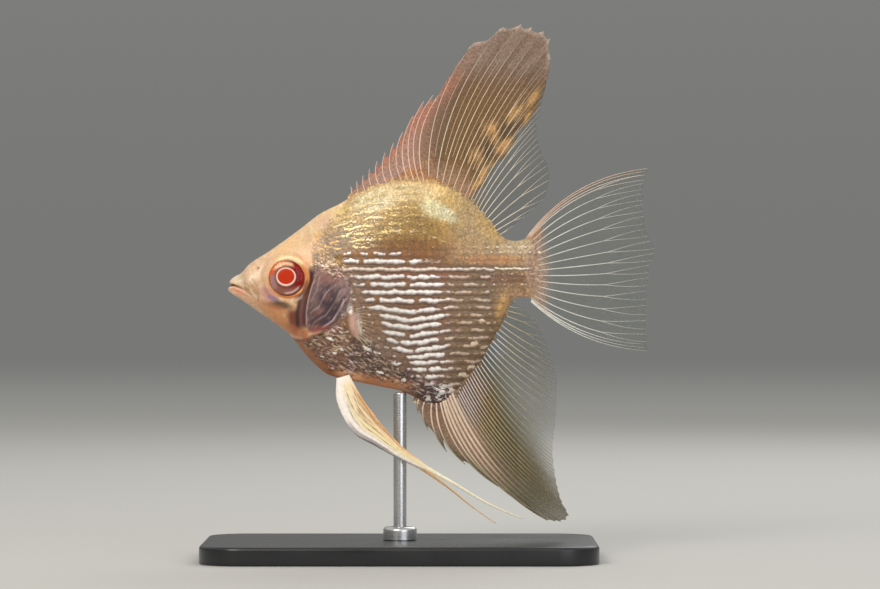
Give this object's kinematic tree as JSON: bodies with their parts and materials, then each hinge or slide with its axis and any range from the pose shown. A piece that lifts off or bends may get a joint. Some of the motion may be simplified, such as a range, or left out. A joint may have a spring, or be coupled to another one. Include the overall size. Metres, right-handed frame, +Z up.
{
  "type": "freshwater angelfish display model",
  "caption": "Life-size still model of an albino freshwater angelfish: tall, thin body, high dorsal and anal fins, thread-like pelvic fins, held above a flat base by a rod.",
  "frame": {"origin": "middle of the display stand's underside, on the surface it stands on", "axes": "+X towards the tail and -X towards the snout, -Y out of the fish's left flank and +Y out of its right flank, +Z up"},
  "size_m": [0.0964, 0.052, 0.1144],
  "materials": {
    "head_skin": "satin, cream and pink skin",
    "gill_cover": "satin, mauve and grey plate with pale creases",
    "flank_scales": "scaled, golden back and silver rows on brown",
    "stem_scales": "scaled, cream and orange tan",
    "eye": "polished, red",
    "fin": "thin ribbed membrane, tan to clear",
    "clear_fin": "clear ribbed membrane",
    "pelvic_fin": "ribbed, cream to orange",
    "stand_base": "satin black",
    "stand_metal": "brushed"
  },
  "bodies": {
    "root": {"head": "head_skin", "lower_jaw": "head_skin", "gill_cover_left": "gill_cover", "gill_cover_right": "gill_cover", "eye_left": "eye", "eye_right": "eye", "trunk": "flank_scales", "tail_stem": "stem_scales", "dorsal_fin": "fin", "anal_fin": "fin", "tail_fin": "fin", "pectoral_fin_left": "clear_fin", "pectoral_fin_right": "clear_fin", "pelvic_fin_left": "pelvic_fin", "pelvic_fin_right": "pelvic_fin", "stand_base": "stand_base", "stand_rod": "stand_metal", "stand_collar": "stand_metal"}
  },
  "joints": []
}
